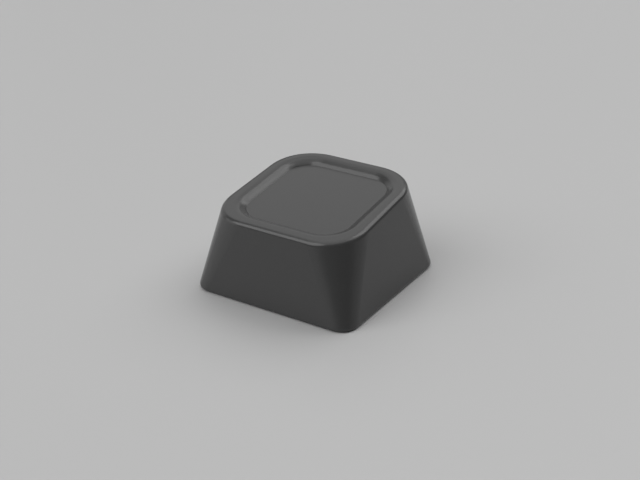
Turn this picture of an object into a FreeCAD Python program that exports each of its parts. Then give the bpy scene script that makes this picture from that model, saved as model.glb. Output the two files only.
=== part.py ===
"""A keycap for one square key of a desk keyboard, as one hollow plastic moulding.

The cap stands on its bottom rim: the origin is the middle of that rim, +Z is up and -Y is the
side towards the typist. All lengths are in millimetres and all angles in degrees.
"""
import FreeCAD, Part
import os
from math import pi

import Sketcher

# Driving sizes, one row each: name, value, what it measures
SIZES = [
    ("base_width", "18.24", "bottom rim, left to right"),
    ("base_depth", "18.24", "bottom rim, front to back"),
    ("base_corner", "1.75", "reach of the skirt's rounded corners at the bottom rim"),
    ("top_corner", "4.65", "reach of the skirt's rounded corners at the top face"),
    ("draft", "7.85", "lean of the four sides"),
    ("height", "9.13", "top face above the middle of the bottom rim"),
    ("top_tilt", "7.2", "slope of the top face, rising to the back"),
    ("crown_round", "0.55", "radius along the outer edge of the top face"),
    ("rim_round", "0.35", "radius along the outer edge of the bottom rim"),
    ("panel_inset", "1.63", "outer edge of the top face to the brow of the finger panel"),
    ("panel_corner", "3.05", "radius of the finger panel's corners at its brow"),
    ("panel_depth", "0.55", "floor of the finger panel below the top face"),
    ("panel_slope", "48", "steepness of the wall round the finger panel"),
    ("brow_round", "1.5", "radius along the brow of the finger panel"),
    ("foot_round", "0.08", "radius along the foot of the panel's wall"),
    ("wall", "1.4", "thickness of the skirt"),
    ("inner_corner", "2.2", "radius of the hollow's upright corners"),
    ("roof", "1.5", "thickness of the roof under the finger panel"),
    ("roof_round", "0.8", "radius between the roof and the skirt, inside"),
    ("stem_diameter", "5.5", "round stem under the roof"),
    ("stem_inset", "0.8", "end of the stem above the bottom rim"),
    ("stem_root_round", "0.5", "radius between the stem and the roof"),
    ("stem_end_bevel", "0.25", "bevel round the end of the stem"),
    ("rib_thickness", "0.9", "support ribs between the stem and the skirt"),
    ("rib_depth", "1.2", "support ribs below the roof"),
    ("cross_length", "4.1", "both bars of the cross socket, end to end"),
    ("bar_across", "1.31", "thickness of the bar that runs left to right"),
    ("bar_along", "1.13", "thickness of the bar that runs front to back"),
    ("socket_depth", "4.0", "cross socket, up from the end of the stem"),
    ("lead_in", "0.2", "bevel round the mouth of the cross socket"),
]

# The skirt is first made taller than the cap, by this factor, and the sloped top then cuts it off
BLANK = 1.4
# Largest share of the panel's sloping wall that each of its two rounds may take up
BROW_SHARE = 0.92
FOOT_SHARE = 0.07
# Largest share of the stem's wall beside the cross socket that each of the bevels at its end may take up
END_BEVEL_SHARE = 0.45
LEAD_IN_SHARE = 0.4
# Share of the skirt's thickness that the ends of the ribs reach into
RIB_BITE = 0.25
# Distance under which a point counts as lying in a plane
NEAR = 1e-4

# Slopes and levels worked out from the driving sizes, as expressions
LEAN = "tan(Sizes.draft * 1 deg)"
TILT_SIN = "sin(Sizes.top_tilt * 1 deg)"
TILT_COS = "cos(Sizes.top_tilt * 1 deg)"
BLANK_HEIGHT = f"({BLANK} * Sizes.height)"
ROOF_DROP = "(Sizes.panel_depth + Sizes.roof)"
MID_ROOF_DROP = "(Sizes.panel_depth + Sizes.roof / 2)"
MID_ROOF_HEIGHT = f"(Sizes.height - {MID_ROOF_DROP} / {TILT_COS})"
RIB_DROP = f"({ROOF_DROP} + Sizes.rib_depth)"

# Each corner is a cone that touches both its sides: its apex lies below the rim, on their sharp edge
FLARE = "((Sizes.top_corner - Sizes.base_corner) / Sizes.height)"
APEX_DROP = f"(Sizes.base_corner / {FLARE})"
AXIS_RUN = f"({LEAN} + {FLARE})"
AXIS_RISE = f"(1 - {LEAN} * {FLARE})"
AXIS_LEAN = f"atan(sqrt(2) * {AXIS_RUN} / {AXIS_RISE})"
CONE_SIN = f"({FLARE} / (cos(Sizes.draft * 1 deg) * sqrt(2 * {AXIS_RUN}^2 + {AXIS_RISE}^2)))"
CONE_TAN = f"({CONE_SIN} / sqrt(1 - {CONE_SIN}^2))"
CONE_TURN = f"acos((sin(Sizes.draft * 1 deg)^2 - {CONE_SIN}^2) / (1 - {CONE_SIN}^2))"

# The panel's sloping wall: how far it runs inwards, its length, and what a round takes of it per radius
PANEL_RUN = "(Sizes.panel_depth / tan(Sizes.panel_slope * 1 deg))"
PANEL_WALL = "(Sizes.panel_depth / sin(Sizes.panel_slope * 1 deg))"
ROUND_REACH = "tan(Sizes.panel_slope * 0.5 deg)"

# The stem's wall where it is thinnest, beyond the corners of the cross socket's bars
BAR_HALF = "(max(Sizes.bar_across; Sizes.bar_along) / 2)"
STEM_WALL = f"(Sizes.stem_diameter / 2 - sqrt((Sizes.cross_length / 2)^2 + {BAR_HALF}^2))"

doc = FreeCAD.newDocument("keycap")
sheet = doc.addObject("Spreadsheet::Sheet", "Sizes")
for row, (alias, number, meaning) in enumerate(SIZES, start=1):
    sheet.set(f"A{row}", meaning)
    sheet.set(f"B{row}", number)
    sheet.setAlias(f"B{row}", alias)
doc.recompute()


def value(expression):
    """The number that an expression gives with the sheet's present sizes."""
    return float(sheet.evalExpression(expression))


def side_reach(inset, drop):
    """From the middle plane to the sides' outer face less an inset, at a drop below the top face."""
    return f"(Sizes.base_width / 2 - {inset} - (Sizes.height - {drop} * {TILT_COS}) * {LEAN})"


def front_reach(inset, drop):
    """The same to the front, measured along the slope of the top face."""
    level = f"(Sizes.base_depth / 2 - {inset} - Sizes.height * {LEAN}) / ({TILT_COS} - {TILT_SIN} * {LEAN})"
    return f"({level} + {drop} * tan((Sizes.draft + Sizes.top_tilt) * 1 deg))"


def back_reach(inset, drop):
    """The same to the back, measured along the slope of the top face."""
    level = f"(Sizes.base_depth / 2 - {inset} - Sizes.height * {LEAN}) / ({TILT_COS} + {TILT_SIN} * {LEAN})"
    return f"({level} + {drop} * tan((Sizes.draft - Sizes.top_tilt) * 1 deg))"


def plane_of(owner, role):
    """One of the three base planes of a body."""
    return next(item for item in owner.Origin.OriginFeatures if item.Role == role)


def attach(item, support, shift=("0", "0", "0"), axis=(0, 0, 1), turn=0):
    """Put a plane, sketch or block on a plane, shifted by three expressions and turned about an axis."""
    item.AttachmentSupport = [(support, "")]
    item.MapMode = "FlatFace"
    rotation = FreeCAD.Rotation(FreeCAD.Vector(*axis), 1 if isinstance(turn, str) else turn)
    item.AttachmentOffset = FreeCAD.Placement(FreeCAD.Vector(), rotation)
    for direction, distance in zip("xyz", shift):
        item.setExpression(f"AttachmentOffset.Base.{direction}", distance)
    if isinstance(turn, str):
        item.setExpression("AttachmentOffset.Rotation.Angle", turn)
    return item


def add_slope(owner, name):
    """A plane along the top face, hung over the middle of the bottom rim."""
    plane = owner.newObject("PartDesign::Plane", name)
    at_top = ("0", "0", "Sizes.height")
    return attach(plane, plane_of(owner, "XY_Plane"), at_top, axis=(1, 0, 0), turn="Sizes.top_tilt")


def add_sketch(owner, name, support, lift="0", shift="0"):
    """An empty sketch, lifted off its plane and shifted to the back by two expressions."""
    return attach(owner.newObject("Sketcher::SketchObject", name), support, ("0", shift, lift))


def drive(sketch, name, expression, *constraint):
    """Add a dimension to a sketch, and let the sheet set it."""
    index = sketch.addConstraint(Sketcher.Constraint(*constraint, value(expression)))
    sketch.renameConstraint(index, name)
    sketch.setExpression(f"Constraints.{name}", expression)


def draw_rectangle(sketch, width, depth, corner=None):
    """A rectangle about the sketch's origin, with four equal round corners if a radius is given."""
    radius = value(corner) if corner else 0
    half_width = value(width) / 2 - radius
    half_depth = value(depth) / 2 - radius
    centres = [
        FreeCAD.Vector(half_width * right, half_depth * back)
        for right, back in ((1, -1), (1, 1), (-1, 1), (-1, -1))
    ]
    outward = [FreeCAD.Vector(0, -1), FreeCAD.Vector(1, 0), FreeCAD.Vector(0, 1), FreeCAD.Vector(-1, 0)]
    sides = []
    bends = []
    for turn, centre in enumerate(centres):
        edge = outward[turn] * radius
        sides.append(sketch.addGeometry(Part.LineSegment(centres[turn - 1] + edge, centre + edge)))
        if corner:
            circle = Part.Circle(centre, FreeCAD.Vector(0, 0, 1), radius)
            bends.append(sketch.addGeometry(Part.ArcOfCircle(circle, (turn - 1) * pi / 2, turn * pi / 2)))
    for turn, side in enumerate(sides):
        following = sides[(turn + 1) % 4]
        if corner:
            sketch.addConstraint(Sketcher.Constraint("Tangent", side, 2, bends[turn], 1))
            sketch.addConstraint(Sketcher.Constraint("Tangent", bends[turn], 2, following, 1))
        else:
            sketch.addConstraint(Sketcher.Constraint("Coincident", side, 2, following, 1))
        sketch.addConstraint(Sketcher.Constraint("Vertical" if turn % 2 else "Horizontal", side))
    front, right, back, left = sides
    sketch.addConstraint(Sketcher.Constraint("Symmetric", front, 1, back, 1, -1, 1))
    drive(sketch, "width", width, "DistanceX", left, 1, right, 1)
    drive(sketch, "depth", depth, "DistanceY", front, 1, back, 1)
    if corner:
        for bend in bends[1:]:
            sketch.addConstraint(Sketcher.Constraint("Equal", bends[0], bend))
        drive(sketch, "corner", corner, "Radius", bends[0])


def draw_cone_cutter(sketch):
    """The area outside a corner's cone: the sketch's origin is the apex, its upright axis the cone's."""
    low = f"({APEX_DROP} / 2)"
    high = f"(2 * ({APEX_DROP} + {BLANK_HEIGHT}))"
    outline = [
        (f"{low} * {CONE_TAN}", low),
        ("Sizes.base_width", low),
        ("Sizes.base_width", high),
        (f"{high} * {CONE_TAN}", high),
    ]
    points = [FreeCAD.Vector(value(across), value(along)) for across, along in outline]
    lines = [
        sketch.addGeometry(Part.LineSegment(point, points[(turn + 1) % 4])) for turn, point in enumerate(points)
    ]
    for turn, line in enumerate(lines):
        sketch.addConstraint(Sketcher.Constraint("Coincident", line, 2, lines[(turn + 1) % 4], 1))
    bottom, outside, top, flank = lines
    sketch.addConstraint(Sketcher.Constraint("Horizontal", bottom))
    sketch.addConstraint(Sketcher.Constraint("Vertical", outside))
    sketch.addConstraint(Sketcher.Constraint("Horizontal", top))
    drive(sketch, "low", low, "DistanceY", -1, 1, bottom, 1)
    drive(sketch, "low_radius", f"{low} * {CONE_TAN}", "DistanceX", -1, 1, bottom, 1)
    drive(sketch, "reach", "Sizes.base_width", "DistanceX", -1, 1, outside, 1)
    drive(sketch, "high", high, "DistanceY", -1, 1, flank, 1)
    drive(sketch, "high_radius", f"{high} * {CONE_TAN}", "DistanceX", -1, 1, flank, 1)


def settle(feature):
    """Work out a new feature, and stop at once if it failed or left the solid as it was."""
    doc.recompute()
    if {"Invalid", "Error"} & set(feature.State) or not feature.Shape.isValid():
        raise RuntimeError(f"{feature.Name} failed: {feature.getStatusString()}")
    before = feature.BaseFeature.Shape.Volume if feature.BaseFeature else 0
    if abs(feature.Shape.Volume - before) < NEAR:
        raise RuntimeError(f"{feature.Name} changed nothing")
    return feature


def tapered_block(owner, name, inset):
    """A block as wide as the skirt less an inset all round, whose sides lean in up to the blank's top."""
    block = attach(owner.newObject("PartDesign::AdditiveWedge", name), plane_of(owner, "XZ_Plane"))
    block.setExpression("Ymin", "0")
    block.setExpression("Ymax", BLANK_HEIGHT)
    for direction, size in (("X", "width"), ("Z", "depth")):
        foot = f"(Sizes.base_{size} / 2 - {inset})"
        head = f"({foot} - {BLANK_HEIGHT} * {LEAN})"
        block.setExpression(f"{direction}min", f"-{foot}")
        block.setExpression(f"{direction}max", foot)
        block.setExpression(f"{direction}2min", f"-{head}")
        block.setExpression(f"{direction}2max", head)
    return settle(block)


def extrude(owner, kind, name, sketch, length, upwards):
    """A Pad or Pocket from a sketch, up or down by a length that the sheet gives."""
    feature = owner.newObject(f"PartDesign::{kind}", name)
    feature.Profile = (sketch, [""])
    feature.Reversed = upwards == (kind == "Pocket")
    feature.setExpression("Length", length)
    return settle(feature)


def edges_at(feature, level, within=None):
    """Names of a shape's edges that lie in a sketch's plane, and inside a half-width if one is given."""
    to_plane = level.Placement.inverse()
    names = []
    for number, edge in enumerate(feature.Shape.Edges, start=1):
        points = [to_plane.multVec(point) for point in edge.discretize(5)]
        flat = all(abs(point.z) < NEAR for point in points)
        inside = within is None or all(max(abs(point.x), abs(point.y)) < within + NEAR for point in points)
        if flat and inside:
            names.append(f"Edge{number}")
    return names


def dress(owner, kind, name, base, edges, size):
    """Fillet or Chamfer some edges of a feature by a size that the sheet gives."""
    feature = owner.newObject(f"PartDesign::{kind}", name)
    feature.Base = (base, edges)
    feature.setExpression("Radius" if kind == "Fillet" else "Size", size)
    return settle(feature)


# The skirt's outside: a tapered block with a cone cut round each corner, wider towards the top
body = doc.addObject("PartDesign::Body", "Keycap")
body.Label = "keycap"
ground = plane_of(body, "XY_Plane")
upright = plane_of(body, "XZ_Plane")
tapered_block(body, "Blank", inset="0")
for end, out, turn in (("Front", "Sizes.base_depth / 2", -45), ("Back", "-Sizes.base_depth / 2", 45)):
    corner_plane = body.newObject("PartDesign::Plane", f"{end}CornerPlane")
    attach(corner_plane, upright, ("Sizes.base_width / 2", "0", out), axis=(0, 1, 0), turn=turn)
    cutter = body.newObject("Sketcher::SketchObject", f"{end}Cutter")
    attach(cutter, corner_plane, (f"sqrt(2) * {APEX_DROP} * {LEAN}", f"-{APEX_DROP}", "0"), turn=AXIS_LEAN)
    draw_cone_cutter(cutter)
    corner = body.newObject("PartDesign::Groove", f"{end}RightCorner")
    corner.Profile = (cutter, [""])
    corner.ReferenceAxis = (cutter, ["V_Axis"])
    corner.Midplane = True
    corner.setExpression("Angle", CONE_TURN)
    settle(corner)
    mirrored = body.newObject("PartDesign::Mirrored", f"{end}LeftCorner")
    mirrored.Originals = [corner]
    mirrored.MirrorPlane = (plane_of(body, "YZ_Plane"), [""])
    body.Tip = mirrored
    skirt = settle(mirrored)

# The top face slopes up to the back; its outer edge and that of the bottom rim are rounded
slope = add_slope(body, "TopSlope")
top_cut = add_sketch(body, "TopCut", slope)
draw_rectangle(top_cut, "2 * Sizes.base_width", "2 * Sizes.base_depth")
top_face = extrude(body, "Pocket", "TopFace", top_cut, BLANK_HEIGHT, upwards=True)
crown = dress(body, "Fillet", "CrownRound", top_face, edges_at(top_face, top_cut), "Sizes.crown_round")
dress(body, "Fillet", "RimRound", crown, edges_at(crown, ground), "Sizes.rim_round")

# The finger panel: a shallow flat sunk into the top face, with a rolled wall all round
to_front = front_reach("0", "0")
to_back = back_reach("0", "0")
panel_middle = f"(({to_back} - {to_front}) / 2)"
brow = (
    f"(2 * {side_reach('Sizes.panel_inset', '0')})",
    f"({to_front} + {to_back} - 2 * Sizes.panel_inset)",
    "Sizes.panel_corner",
)
foot = [f"({size} - {sides} * {PANEL_RUN})" for size, sides in zip(brow, (2, 2, 1))]
brow_outline = add_sketch(body, "BrowOutline", slope, shift=panel_middle)
draw_rectangle(brow_outline, *brow)
foot_outline = add_sketch(body, "FootOutline", slope, lift="-Sizes.panel_depth", shift=panel_middle)
draw_rectangle(foot_outline, *foot)
panel = body.newObject("PartDesign::SubtractiveLoft", "FingerPanel")
panel.Profile = (foot_outline, [""])
panel.Sections = [(brow_outline, [""])]
panel.Ruled = True
settle(panel)
brow_edges = edges_at(panel, brow_outline, within=max(value(brow[0]), value(brow[1])) / 2)
brow_radius = f"min(Sizes.brow_round; {BROW_SHARE} * {PANEL_WALL} / {ROUND_REACH})"
panel_brow = dress(body, "Fillet", "BrowRound", panel, brow_edges, brow_radius)
foot_radius = f"min(Sizes.foot_round; {FOOT_SHARE} * {PANEL_WALL} / {ROUND_REACH})"
dress(body, "Fillet", "FootRound", panel_brow, edges_at(panel_brow, foot_outline), foot_radius)

# The hollow is left by a core of its own, as in the mould: one wall thickness in, with a sloped roof
core = doc.addObject("PartDesign::Body", "Core")
tapered_block(core, "CoreBlock", inset="Sizes.wall")
roof_cut = add_sketch(core, "RoofCut", add_slope(core, "RoofSlope"), lift=f"-{ROOF_DROP}")
draw_rectangle(roof_cut, "2 * Sizes.base_width", "2 * Sizes.base_depth")
roof_face = extrude(core, "Pocket", "RoofFace", roof_cut, BLANK_HEIGHT, upwards=True)
core_uprights = [
    f"Edge{number}"
    for number, edge in enumerate(roof_face.Shape.Edges, start=1)
    if edge.BoundBox.ZMin < NEAR < edge.BoundBox.ZLength
]
core_sides = dress(core, "Fillet", "InnerCorners", roof_face, core_uprights, "Sizes.inner_corner")
dress(core, "Fillet", "RoofRound", core_sides, edges_at(core_sides, roof_cut), "Sizes.roof_round")
hollow = body.newObject("PartDesign::Boolean", "Hollow")
hollow.Type = "Cut"
hollow.setObjects([core])
settle(hollow)

# The stem that stands on the switch, rooted in the middle of the roof's thickness
stem_circle = add_sketch(body, "StemCircle", ground, lift="Sizes.stem_inset")
circle = Part.Circle(FreeCAD.Vector(), FreeCAD.Vector(0, 0, 1), value("Sizes.stem_diameter") / 2)
stem_edge = stem_circle.addGeometry(circle)
stem_circle.addConstraint(Sketcher.Constraint("Coincident", stem_edge, 3, -1, 1))
drive(stem_circle, "diameter", "Sizes.stem_diameter", "Diameter", stem_edge)
stem = extrude(body, "Pad", "Stem", stem_circle, f"{MID_ROOF_HEIGHT} - Sizes.stem_inset", upwards=True)
root_edges = edges_at(stem, roof_cut, within=value("Sizes.stem_diameter"))
stem_root = dress(body, "Fillet", "StemRootRound", stem, root_edges, "Sizes.stem_root_round")
end_edges = edges_at(stem_root, stem_circle)
end_bevel = f"min(Sizes.stem_end_bevel; {END_BEVEL_SHARE} * {STEM_WALL})"
dress(body, "Chamfer", "StemEndBevel", stem_root, end_edges, end_bevel)

# Four support ribs under the roof, as two bars that cross at the stem and end inside the skirt
rib_inset = f"{1 - RIB_BITE} * Sizes.wall"
rib_height = "(Sizes.roof / 2 + Sizes.rib_depth)"
rib_to_front = front_reach(rib_inset, RIB_DROP)
rib_to_back = back_reach(rib_inset, RIB_DROP)
stem_shift = f"-({ROOF_DROP} + Sizes.rib_depth / 2) * tan(Sizes.top_tilt * 1 deg)"
rib_across = add_sketch(body, "RibAcross", slope, lift=f"-{MID_ROOF_DROP}", shift=stem_shift)
draw_rectangle(rib_across, f"2 * {side_reach(rib_inset, RIB_DROP)}", "Sizes.rib_thickness")
extrude(body, "Pad", "RibsAcross", rib_across, rib_height, upwards=False)
rib_middle = f"({rib_to_back} - {rib_to_front}) / 2"
rib_along = add_sketch(body, "RibAlong", slope, lift=f"-{MID_ROOF_DROP}", shift=rib_middle)
draw_rectangle(rib_along, "Sizes.rib_thickness", f"{rib_to_front} + {rib_to_back}")
extrude(body, "Pad", "RibsAlong", rib_along, rib_height, upwards=False)

# The cross socket in the end of the stem, with a bevel that leads the switch's cross in
socket_across = add_sketch(body, "SocketAcross", ground, lift="Sizes.stem_inset")
draw_rectangle(socket_across, "Sizes.cross_length", "Sizes.bar_across")
extrude(body, "Pocket", "SocketBarAcross", socket_across, "Sizes.socket_depth", upwards=True)
socket_along = add_sketch(body, "SocketAlong", ground, lift="Sizes.stem_inset")
draw_rectangle(socket_along, "Sizes.bar_along", "Sizes.cross_length")
socket = extrude(body, "Pocket", "SocketBarAlong", socket_along, "Sizes.socket_depth", upwards=True)
cross_edges = edges_at(socket, socket_along, within=value("Sizes.cross_length") / 2)
lead_in = f"min(Sizes.lead_in; {LEAD_IN_SHARE} * {STEM_WALL})"
body.Tip = dress(body, "Chamfer", "LeadIn", socket, cross_edges, lead_in)
doc.recompute()

# Nothing is written unless every feature and the solid are sound
failed = [item.Name for item in doc.Objects if {"Invalid", "Error"} & set(item.State)]
if failed:
    raise RuntimeError(f"features that failed: {', '.join(failed)}")
shape = body.Shape
if shape.isNull() or not shape.isValid() or len(shape.Solids) != 1:
    raise RuntimeError("the keycap isn't one sound solid")
print(f"{body.Label}: {shape.Volume:.1f} mm3, {len(shape.Faces)} faces")

os.makedirs("parts", exist_ok=True)
shape.exportStep(f"parts/{body.Label}.step")
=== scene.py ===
from math import radians, tan

import bmesh
import bpy
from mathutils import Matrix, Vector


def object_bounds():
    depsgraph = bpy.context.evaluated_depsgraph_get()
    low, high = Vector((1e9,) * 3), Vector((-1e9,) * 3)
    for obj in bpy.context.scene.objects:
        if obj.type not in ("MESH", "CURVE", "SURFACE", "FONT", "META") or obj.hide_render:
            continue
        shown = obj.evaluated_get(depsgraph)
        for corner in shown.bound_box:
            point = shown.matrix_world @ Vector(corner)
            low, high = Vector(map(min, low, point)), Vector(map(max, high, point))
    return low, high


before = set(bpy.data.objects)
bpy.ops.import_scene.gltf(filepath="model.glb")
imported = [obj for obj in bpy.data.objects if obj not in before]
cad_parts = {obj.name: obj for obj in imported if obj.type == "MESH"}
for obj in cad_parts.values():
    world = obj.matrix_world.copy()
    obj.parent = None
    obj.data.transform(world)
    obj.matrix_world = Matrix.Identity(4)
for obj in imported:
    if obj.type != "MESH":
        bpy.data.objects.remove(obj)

cad_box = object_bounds()

# Keycap
# One injection moulding in dark plastic, coloured through. The half of the mould that forms the outside
# is spark-eroded to a fine satin grain; the core that leaves the hollow is milled, and a little smoother.
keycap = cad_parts["keycap"]
plastic = bpy.data.materials.new("satin_keycap_plastic")
plastic.use_nodes = True
nodes = plastic.node_tree.nodes
links = plastic.node_tree.links
principled = nodes["Principled BSDF"]
principled.inputs["IOR"].default_value = 1.5
principled.inputs["Specular IOR Level"].default_value = 0.47

# Pigment: faint specks in the colour, a few hundredths of a millimetre wide
place = nodes.new("ShaderNodeTexCoord")
specks = nodes.new("ShaderNodeTexNoise")
specks.inputs["Scale"].default_value = 24000
specks.inputs["Detail"].default_value = 2
links.new(place.outputs["Object"], specks.inputs["Vector"])
pigment = nodes.new("ShaderNodeValToRGB")
pigment.color_ramp.elements[0].position = 0.3
pigment.color_ramp.elements[0].color = (0.046, 0.046, 0.046, 1)
pigment.color_ramp.elements[1].position = 0.7
pigment.color_ramp.elements[1].color = (0.056, 0.056, 0.056, 1)
links.new(specks.outputs["Fac"], pigment.inputs["Fac"])
links.new(pigment.outputs["Color"], principled.inputs["Base Color"])

# Core: 1 on the bottom edge and in the hollow, where a rounded square that narrows upward with the walls
# lies inside the outer skin, below a plane in the roof that slopes with the top
rim_half = cad_box[1][0]
skin = 0.00017
skirt_lean = tan(radians(7.85))
top_slope = tan(radians(7.2))
roof_middle = 0.0078
squared = nodes.new("ShaderNodeVectorMath")
squared.operation = "MULTIPLY"
links.new(place.outputs["Object"], squared.inputs[0])
links.new(place.outputs["Object"], squared.inputs[1])
fourth = nodes.new("ShaderNodeVectorMath")
fourth.operation = "MULTIPLY"
links.new(squared.outputs["Vector"], fourth.inputs[0])
links.new(squared.outputs["Vector"], fourth.inputs[1])
powers = nodes.new("ShaderNodeSeparateXYZ")
links.new(fourth.outputs["Vector"], powers.inputs["Vector"])
both = nodes.new("ShaderNodeMath")
both.operation = "ADD"
links.new(powers.outputs["X"], both.inputs[0])
links.new(powers.outputs["Y"], both.inputs[1])
outward = nodes.new("ShaderNodeMath")
outward.operation = "POWER"
outward.inputs[1].default_value = 0.25
links.new(both.outputs["Value"], outward.inputs[0])
parts = nodes.new("ShaderNodeSeparateXYZ")
links.new(place.outputs["Object"], parts.inputs["Vector"])
drafted = nodes.new("ShaderNodeMath")
drafted.operation = "MULTIPLY_ADD"
drafted.inputs[1].default_value = skirt_lean
links.new(parts.outputs["Z"], drafted.inputs[0])
links.new(outward.outputs["Value"], drafted.inputs[2])
within = nodes.new("ShaderNodeMath")
within.operation = "LESS_THAN"
within.inputs[1].default_value = rim_half - skin
links.new(drafted.outputs["Value"], within.inputs[0])
leaning = nodes.new("ShaderNodeMath")
leaning.operation = "MULTIPLY_ADD"
leaning.inputs[1].default_value = -top_slope
links.new(parts.outputs["Y"], leaning.inputs[0])
links.new(parts.outputs["Z"], leaning.inputs[2])
below = nodes.new("ShaderNodeMath")
below.operation = "LESS_THAN"
below.inputs[1].default_value = roof_middle
links.new(leaning.outputs["Value"], below.inputs[0])
core = nodes.new("ShaderNodeMath")
core.operation = "MULTIPLY"
links.new(within.outputs["Value"], core.inputs[0])
links.new(below.outputs["Value"], core.inputs[1])

# Gloss: the satin varies softly over a millimetre or two, and is a shade glossier off the milled core
patches = nodes.new("ShaderNodeTexNoise")
patches.inputs["Scale"].default_value = 700
patches.inputs["Detail"].default_value = 4
links.new(place.outputs["Object"], patches.inputs["Vector"])
satin = nodes.new("ShaderNodeMapRange")
satin.inputs["To Min"].default_value = 0.19
satin.inputs["To Max"].default_value = 0.24
links.new(patches.outputs["Fac"], satin.inputs["Value"])
gloss = nodes.new("ShaderNodeMath")
gloss.operation = "MULTIPLY_ADD"
gloss.inputs[1].default_value = -0.03
links.new(core.outputs["Value"], gloss.inputs[0])
links.new(satin.outputs["Result"], gloss.inputs[2])
links.new(gloss.outputs["Value"], principled.inputs["Roughness"])

# Grain: shallow pits left by the spark-eroded mould, and fine level tool marks off the core
pits = nodes.new("ShaderNodeTexNoise")
pits.inputs["Scale"].default_value = 14000
pits.inputs["Detail"].default_value = 3
links.new(place.outputs["Object"], pits.inputs["Vector"])
marks = nodes.new("ShaderNodeTexWave")
marks.bands_direction = "Z"
marks.inputs["Scale"].default_value = 2600
marks.inputs["Distortion"].default_value = 2
marks.inputs["Detail"].default_value = 2
links.new(place.outputs["Object"], marks.inputs["Vector"])
relief = nodes.new("ShaderNodeMix")
links.new(core.outputs["Value"], relief.inputs["Factor"])
links.new(pits.outputs["Fac"], relief.inputs["A"])
links.new(marks.outputs["Fac"], relief.inputs["B"])
grain = nodes.new("ShaderNodeBump")
grain.inputs["Strength"].default_value = 0.3
grain.inputs["Distance"].default_value = 0.000003
links.new(relief.outputs["Result"], grain.inputs["Height"])
links.new(grain.outputs["Normal"], principled.inputs["Normal"])

keycap.data.materials.clear()
keycap.data.materials.append(plastic)

# Floor
# A wide sheet of pale matt board, evenly coloured, that the cap stands on.
# It lies flat and reaches far enough that no edge comes into view.
scene = bpy.context.scene
sheet = bmesh.new()
bmesh.ops.create_grid(sheet, x_segments=1, y_segments=1, size=2)
floor = bpy.data.objects.new("floor", bpy.data.meshes.new("floor"))
sheet.to_mesh(floor.data)
sheet.free()
scene.collection.objects.link(floor)
board = bpy.data.materials.new("pale_board")
board.use_nodes = True
board_shader = board.node_tree.nodes["Principled BSDF"]
board_shader.inputs["Base Color"].default_value = (0.484, 0.484, 0.484, 1)
board_shader.inputs["Roughness"].default_value = 0.5
floor.data.materials.append(board)

# Light
# Large soft boxes behind on the right and in front on the left, a pale ceiling, and weaker light from
# the right, from the left and from low down, in a dim even room.
scene.view_settings.view_transform = "Standard"
world = bpy.data.worlds.new("studio")
world.use_nodes = True
world.node_tree.nodes["Background"].inputs["Color"].default_value = (1, 1, 1, 1)
world.node_tree.nodes["Background"].inputs["Strength"].default_value = 0.1
scene.world = world
for name, azimuth, elevation, spread, strength in (
    ("back_right_box", 72, 44, 44, 0.84),
    ("right_box", 40, 54, 36, 0.3),
    ("front_left_box", 241, 43, 48, 1.26),
    ("back_left_box", 130, 45, 44, 0.3),
    ("ceiling", 0, 90, 60, 0.74),
    ("low_left_box", 212, 15, 44, 0.38),
    ("low_side_box", 162, 13, 44, 0.2),
    ("low_back_box", 100, 12, 52, 0.14),
):
    box = bpy.data.lights.new(name, "SUN")
    box.angle = radians(spread)
    box.energy = strength
    holder = bpy.data.objects.new(name, box)
    holder.rotation_euler = (0, radians(90 - elevation), radians(azimuth))
    scene.collection.objects.link(holder)

# Camera
# Off the right front corner, a little to its front side, looking down at the cap from about 12 cm away.
# Its frame is 36 mm wide, and the cap stands near the middle of it.
looking_down = 26.02
turned_left = 32.137
lens = bpy.data.cameras.new("camera")
lens.sensor_width = 36
lens.lens = 63.6
lens.clip_start = 0.005
camera = bpy.data.objects.new("camera", lens)
camera.location = (0.05490, -0.08689, 0.05413)
camera.rotation_euler = (radians(90 - looking_down), 0, radians(turned_left))
scene.collection.objects.link(camera)
scene.camera = camera
